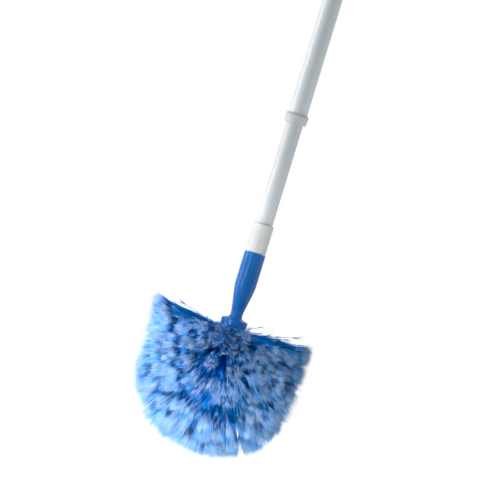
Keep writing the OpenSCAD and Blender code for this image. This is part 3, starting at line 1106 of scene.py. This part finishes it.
@dataclass
class BristleHead:
    """The bristles: rows of tufts on the block, each tuft a flared bundle of filaments.

    Attributes:
        rows: How many rows the tufts stand in, besides the one at the crown.
        hole_r: Radius of a tuft's hole in the block.
        hole_depth: Depth of the hole.
        hole_pitch: From one hole to the next round the block.
        first_row_drop: From the block's top to the uppermost holes.
        rim_rise: How far the uppermost tufts rise above the block's top.
        tuft_tip_r: Radius of a CAD tuft at its tip.
        risen_rows: How many rows follow the upper edge.
        rimmed_rows: How many rows are kept under it.
        even_rows: How many rows it takes for tufts to differ fully in length.
        seed: Start of the random numbers.
        body: The body that the bristles ride on.
        slot: Name of the bristles' material slot, which is not used.
        form: The outline of the head.
        style: How the filaments of a tuft lie.
        pattern: The filament.
    """

    rows: int = 9
    hole_r: float = 2.3 * MM
    hole_depth: float = 7 * MM
    hole_pitch: float = 7.6 * MM
    first_row_drop: float = 8 * MM
    rim_rise: float = 4 * MM
    tuft_tip_r: float = 10.5 * MM
    risen_rows: int = 4
    rimmed_rows: int = 2
    even_rows: int = 2
    seed: int = 7
    body: str = "brush_head"
    slot: str = "blue_bristle"
    form: HeadForm = field(default_factory=HeadForm)
    style: TuftStyle = field(default_factory=TuftStyle)
    pattern: FilamentPattern = field(default_factory=FilamentPattern)

    def __post_init__(self) -> None:
        """Takes the block's place and size from the frame."""
        low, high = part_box("brush_block")
        self.block_r = high.x
        self.block_mid = low.z + self.block_r
        self.tip_start = -math.atan2(self.form.dome_start + self.rim_rise - self.tuft_tip_r, self.form.radius)
        self.root_start = -math.atan2(high.z - self.block_mid - self.first_row_drop, self.block_r)
        self.random = np.random.default_rng(self.seed)
        self.pieces: dict[str, bpy.types.Object] = {}

    def row_angle(self, start: float, row: int) -> float:
        """Angle of a row, from start at the uppermost row to straight down at the crown."""
        return start + (math.pi / 2 - start) * row / self.rows

    def root(self, row: int) -> tuple[float, float]:
        """Radius and height of a row's tufts at the block's surface."""
        angle = self.row_angle(self.root_start, row)
        reach = self.block_r / math.cos(angle) if angle < 0 else self.block_r
        return reach * math.cos(angle), self.block_mid - reach * math.sin(angle)

    def tip(self, row: int) -> tuple[float, float]:
        """Radius and height of a row's tufts at the tip."""
        angle = self.row_angle(self.tip_start, row)
        reach = float(self.form.reach(np.array(angle)))
        return reach * math.cos(angle), self.form.dome_z - reach * math.sin(angle)

    def tuft_count(self, row: int) -> int:
        """How many tufts a row has."""
        if row == self.rows:
            return 1
        return int(2 * math.pi * self.root(row)[0] / self.hole_pitch)

    def place(self, row: int, index: int) -> TuftPlace:
        """Where a tuft stands.

        Args:
            row: The tuft's row, from 0 at the top.
            index: The tuft's number in its row.

        Returns:
            Its place.
        """
        turn = 2 * math.pi * (index + (row % 2) / 2) / self.tuft_count(row)
        spin = np.array(Matrix.Rotation(turn, 3, "Z"))
        (root_r, root_z), (tip_r, tip_z) = self.root(row), self.tip(row)
        root, tip = spin @ np.array([root_r, 0.0, root_z]), spin @ np.array([tip_r, 0.0, tip_z])
        return TuftPlace(root, tip, spin @ np.array([0.0, 1.0, 0.0]))

    def disc(self, count: int, radius: float) -> np.ndarray:
        """Random points in a disc.

        Args:
            count: How many points.
            radius: The disc's radius.

        Returns:
            The points, one row each.
        """
        r = radius * np.sqrt(self.random.random(count))
        turn = 2 * math.pi * self.random.random(count)
        return np.stack([r * np.cos(turn), r * np.sin(turn)], axis=1)

    def tuft(self, row: int, index: int) -> Curves:
        """Places one tuft's filaments.

        Args:
            row: The tuft's row, from 0 at the top.
            index: The tuft's number in its row.

        Returns:
            Its filaments.
        """
        style = self.style
        place = self.place(row, index)
        spots = self.disc(style.filaments, 1.0)
        hubs = self.disc(style.wisps, 1.0)
        wisp = np.argmin(np.linalg.norm(spots[:, None] - hubs[None], axis=2), axis=1)
        loose = self.random.random(style.filaments) < style.loose_share
        drawn = spots + (hubs[wisp] - spots) * style.gather
        aims = drawn * style.flare * self.random.uniform(*style.flare_range) + self.disc(1, style.lean)
        aims[loose] = spots[loose] * style.loose_flare
        tips, stray = self.edged(place.tip + place.spread(aims), row)
        short = self.shortage(row, wisp, loose, stray)
        tips = self.form.part(tips - (short - style.overrun)[:, None] * place.along)
        roots = place.root - place.along * self.hole_depth + place.spread(spots * self.hole_r)
        ahead = unit(tips - place.root) * (self.hole_depth + style.bend * place.length)
        middles = roots + ahead + place.spread(spots * style.splay)
        middles += self.random.normal(0.0, style.bend_scatter, middles.shape)
        lanes = np.where(loose, self.random.random(len(spots)), self.random.random(len(hubs))[wisp])
        return Curves(roots, middles, tips, lanes)

    def edged(self, tips: np.ndarray, row: int) -> tuple[np.ndarray, np.ndarray]:
        """Lays a tuft's tips on the outline, and shapes the head's upper edge.

        Args:
            tips: The filaments' tips.
            row: The tuft's row.

        Returns:
            The tips, and which of them stray.
        """
        tips[:, 2] += self.form.rise(tips) * max(0.0, 1.0 - row / self.risen_rows)
        tips = self.form.onto_outline(tips)
        if row < self.rimmed_rows:
            over = np.maximum(0.0, tips[:, 2] - self.form.top - self.form.rise(tips))
            tips[:, 2] -= over * self.random.uniform(1.0, 1.5, len(tips))
        stray = np.zeros(len(tips), dtype=bool)
        if row == 0:
            stray = self.random.random(len(tips)) < self.style.stray_share
            most = np.where(tips[stray, 0] < 0, self.style.left_stray, self.style.right_stray)
            tips[stray, 2] += most * self.random.random(stray.sum())
        return tips, stray

    def shortage(self, row: int, wisp: np.ndarray, loose: np.ndarray, stray: np.ndarray) -> np.ndarray:
        """How much of its full length each filament of a tuft lacks.

        Args:
            row: The tuft's row.
            wisp: The wisp that each filament belongs to.
            loose: Which filaments keep out of the wisps.
            stray: Which filaments stray.

        Returns:
            The lengths that they lack.
        """
        style = self.style
        tuft = self.random.exponential(style.tuft_short) * min(1.0, row / self.even_rows)
        wisps = self.random.exponential(style.wisp_short, style.wisps)[wisp]
        own = self.random.exponential(style.own_short, style.filaments)
        short = np.minimum(tuft + wisps + own, style.most_short)
        short[loose] = own[loose]
        short[stray] += style.stray_short * self.random.random(stray.sum())
        return short

    def bent(self, base: np.ndarray, curves: Curves) -> np.ndarray:
        """Bends copies of the filament along curves.

        Args:
            base: The filament's points.
            curves: Where the copies run.

        Returns:
            The copies' points, one row of the array for each copy.
        """
        style = self.style
        each = (len(curves.roots), 1, 1)
        t = base[:, 2][None, :, None]
        path = (1 - t) ** 2 * curves.roots[:, None] + 2 * t * (1 - t) * curves.middles[:, None]
        path += t**2 * curves.tips[:, None]
        axis = unit(curves.tips - curves.roots)
        side = unit(np.cross(axis, self.random.normal(size=axis.shape)))
        other = np.cross(axis, side)
        wave = style.wave * np.sin(2 * math.pi * (style.waves * t + self.random.random(each))) * t
        last = np.clip((t - style.kink_start) / (1 - style.kink_start), 0, 1)
        kink = np.abs(self.random.normal(0.0, style.kink, each)) * last**style.kink_power
        factor = self.random.uniform(*style.flag_range, each)
        scale = np.where(t > self.pattern.fray + 2 * self.pattern.margin, factor, 1.0)
        points = path + (base[:, 0][None, :, None] * scale + wave + kink) * side[:, None]
        return points + base[:, 1][None, :, None] * scale * other[:, None]

    def strands(self, filament: bpy.types.Object, curves: Curves, name: str) -> bpy.types.Object:
        """Makes one mesh of bent copies of the filament.

        Args:
            filament: The filament.
            curves: Where the copies run.
            name: The name of the piece.

        Returns:
            The piece.
        """
        base = np.array([v.co[:] for v in filament.data.vertices])
        faces = np.array([p.vertices[:] for p in filament.data.polygons])
        points = self.bent(base, curves)
        grid = faces[None] + (np.arange(len(points)) * len(base))[:, None, None]
        piece = bpy.data.objects.new(name, bpy.data.meshes.new(name))
        bpy.context.scene.collection.objects.link(piece)
        self.fill(piece.data, points.reshape(-1, 3), grid.reshape(-1, 3))
        self.unwrap(piece.data, base, curves.lanes)
        return piece

    @staticmethod
    def fill(mesh: bpy.types.Mesh, points: np.ndarray, faces: np.ndarray) -> None:
        """Puts points and triangles into an empty mesh.

        Args:
            mesh: The mesh.
            points: The points, one row each.
            faces: The three points of each triangle, by number.
        """
        mesh.vertices.add(len(points))
        mesh.vertices.foreach_set("co", points.astype(np.float32).ravel())
        mesh.loops.add(faces.size)
        mesh.loops.foreach_set("vertex_index", faces.astype(np.int32).ravel())
        mesh.polygons.add(len(faces))
        mesh.polygons.foreach_set("loop_start", np.arange(0, faces.size, 3, dtype=np.int32))
        mesh.update(calc_edges=True)

    def unwrap(self, mesh: bpy.types.Mesh, base: np.ndarray, lanes: np.ndarray) -> None:
        """Lays each filament on an upright strip of the map, root at 0 and tip at 1.

        Args:
            mesh: The mesh of all filaments.
            base: The filament's points.
            lanes: Each filament's place on the map, from 0 to 1, alike for the filaments of one wisp.
        """
        strip = 0.001
        scatter = 0.003
        corner = np.round(np.arctan2(base[:, 1], base[:, 0]) / (2 * math.pi / 3))
        lane = 0.02 + 0.96 * lanes[:, None] + scatter * self.random.normal(size=(len(lanes), 1))
        u = np.clip(lane + strip * corner[None], 0.001, 0.999).ravel()
        v = np.clip(np.tile(base[:, 2], len(lanes)), 0.001, 0.999)
        at = np.zeros(len(mesh.loops), dtype=np.int32)
        mesh.loops.foreach_get("vertex_index", at)
        corners = np.stack([u[at], v[at]], axis=1).astype(np.float32).ravel()
        for name in (FILAMENT_UV, "OFBake"):
            layer = mesh.uv_layers.new(name=name)
            layer.data.foreach_set("uv", corners)
        mesh.uv_layers[FILAMENT_UV].active_render = True

    def build(self) -> None:
        """Builds every row of tufts, one piece for each CAD node that it replaces."""
        filament = self.pattern.build()
        for row in range(self.rows + 1):
            node = "tuft_crown" if row == self.rows else f"tuft_row_{row + 1}"
            tufts = [self.tuft(row, i) for i in range(self.tuft_count(row))]
            self.pieces[node] = self.strands(filament, Curves.joined(tufts), f"bristles_{node}")
        bpy.data.objects.remove(filament)

    def dress(self, dresser: Dresser) -> None:
        """Gives the pieces their finish and ties them to the frame.

        Args:
            dresser: What makes the materials.
        """
        for node, piece in self.pieces.items():
            piece.data.materials.append(dresser.material(BRISTLE))
            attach(piece, self.body)
            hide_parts(node)
            log.info("%s: %d triangles", piece.name, len(piece.data.polygons))


@dataclass(frozen=True)
class Lamp:
    """A soft lamp that faces the brush head.

    Attributes:
        name: Its name.
        place: Where it hangs.
        size: Its width and height.
        power: Its power in watts.
        spread: The angle of its beam, in degrees.
    """

    name: str
    place: tuple[float, float, float]
    size: tuple[float, float]
    power: float
    spread: float = 180.0

    def hang(self, target: Vector) -> None:
        """Makes the lamp.

        Args:
            target: What it is turned to.
        """
        data = bpy.data.lights.new(self.name, "AREA")
        data.shape = "RECTANGLE"
        data.size, data.size_y = self.size
        data.energy = self.power
        data.spread = math.radians(self.spread)
        lamp = bpy.data.objects.new(self.name, data)
        bpy.context.scene.collection.objects.link(lamp)
        lamp.location = self.place
        lamp.rotation_mode = "QUATERNION"
        lamp.rotation_quaternion = (target - lamp.location).to_track_quat("-Z", "Y")


@dataclass
class Studio:
    """A white studio, lit by a big soft lamp on the left, with the photograph's camera.

    Attributes:
        lens: The camera's focal length in millimetres.
        picture_width: Width of the picture at the brush.
        aim: The point in the middle of the picture.
        lean: How far the pole leans in the picture.
        floor_z: Height of the floor.
        target: What the lamps are turned to, the middle of the head.
        lamps: The big lamp, two narrow ones for the head's underside and front, and one behind.
        ambient: Strength of the light from all round.
        ambient_tint: Its colour.
        paper: How light the floor is.
        paper_glow: What the floor needs on top to be seen as white.
    """

    lens: float = 300.0
    picture_width: float = 0.619
    aim: Vector = field(default_factory=lambda: Vector((-0.0238, 0.0, -0.8839)))
    lean: float = math.radians(17.0)
    floor_z: float = -2.30
    target: Vector = field(default_factory=lambda: Vector((0.0, 0.0, -1.06)))
    lamps: tuple[Lamp, ...] = (
        Lamp("key", (-2.8, -0.1, -0.6), (1.2, 2.4), 56.0),
        Lamp("low", (-0.3, -0.8, -1.95), (0.5, 0.3), 0.6, 22.0),
        Lamp("front", (-1.0, -1.3, -1.15), (0.5, 0.3), 0.27, 15.0),
        Lamp("rim", (2.4, 0.1, -1.2), (0.8, 1.2), 8.0),
    )
    ambient: float = 0.47
    ambient_tint: Colour = (0.82, 0.95, 1.0)
    paper: Colour = (0.80, 0.80, 0.80)
    paper_glow: float = 0.88

    def build(self) -> None:
        """Makes the camera, the lamps, the surroundings and the floor."""
        self._camera()
        for lamp in self.lamps:
            lamp.hang(self.target)
        self._world()
        self._floor()
        bpy.context.scene.view_settings.view_transform = "Standard"

    def _camera(self) -> None:
        """Makes the camera, square to the pole and rolled by the pole's lean."""
        data = bpy.data.cameras.new("camera")
        data.lens = self.lens
        camera = bpy.data.objects.new("camera", data)
        bpy.context.scene.collection.objects.link(camera)
        distance = self.picture_width * data.lens / data.sensor_width
        c, s = math.cos(self.lean), math.sin(self.lean)
        turn = Matrix(((c, -s, 0.0), (0.0, 0.0, -1.0), (s, c, 0.0)))
        camera.matrix_world = Matrix.Translation(self.aim + Vector((0.0, -distance, 0.0))) @ turn.to_4x4()
        data.clip_end = 100.0
        bpy.context.scene.camera = camera

    @staticmethod
    def _seen(tree: Tree) -> bpy.types.NodeSocket:
        """Tells the rays that show the surroundings: from the camera, a reflection or through glass.

        Args:
            tree: The tree that asks.

        Returns:
            The socket of 1 for those rays and 0 for the others.
        """
        path = tree.add("ShaderNodeLightPath").outputs
        first = tree.math("MAXIMUM", path["Is Camera Ray"], path["Is Glossy Ray"])
        return tree.math("MAXIMUM", first, path["Is Transmission Ray"])

    def _world(self) -> None:
        """Makes surroundings that are seen as white and light the brush dimly."""
        world = bpy.data.worlds.new("studio")
        world.use_nodes = True
        bpy.context.scene.world = world
        tree = Tree(world.node_tree)
        background = world.node_tree.nodes["Background"]
        seen = self._seen(tree)
        tree.feed(background.inputs["Color"], tree.mix(seen, solid(self.ambient_tint), solid(WHITE)))
        lit = tree.math("MULTIPLY", tree.math("SUBTRACT", 1.0, seen), self.ambient)
        tree.feed(background.inputs["Strength"], tree.math("ADD", lit, seen))

    def _floor(self) -> None:
        """Makes the pale floor, which looks white outside the brush's shadow."""
        deselect()
        bpy.ops.mesh.primitive_plane_add(size=60.0, location=(0.0, 0.0, self.floor_z))
        floor = bpy.context.object
        floor.name = "floor"
        surface = Surface("floor_paper")
        surface.set(
            Base_Color=solid(self.paper),
            Roughness=0.9,
            Specular_IOR_Level=0.0,
            Emission_Color=solid(WHITE),
            Emission_Strength=surface.math("MULTIPLY", self._seen(surface), self.paper_glow),
        )
        floor.data.materials.append(surface.material)


def main() -> None:
    """Builds the sub-assemblies in order, then the studio."""
    logging.basicConfig(level=logging.INFO, format="%(name)s: %(message)s")
    dresser = Dresser(Effects())
    bristles = BristleHead()
    bristles.build()
    for part in (OuterPole(), InnerPole(), TwistLock(), BrushHead(), bristles):
        part.dress(dresser)
        log.info("%s is done", type(part).__name__)
    Studio().build()


if __name__ == "__main__":
    main()
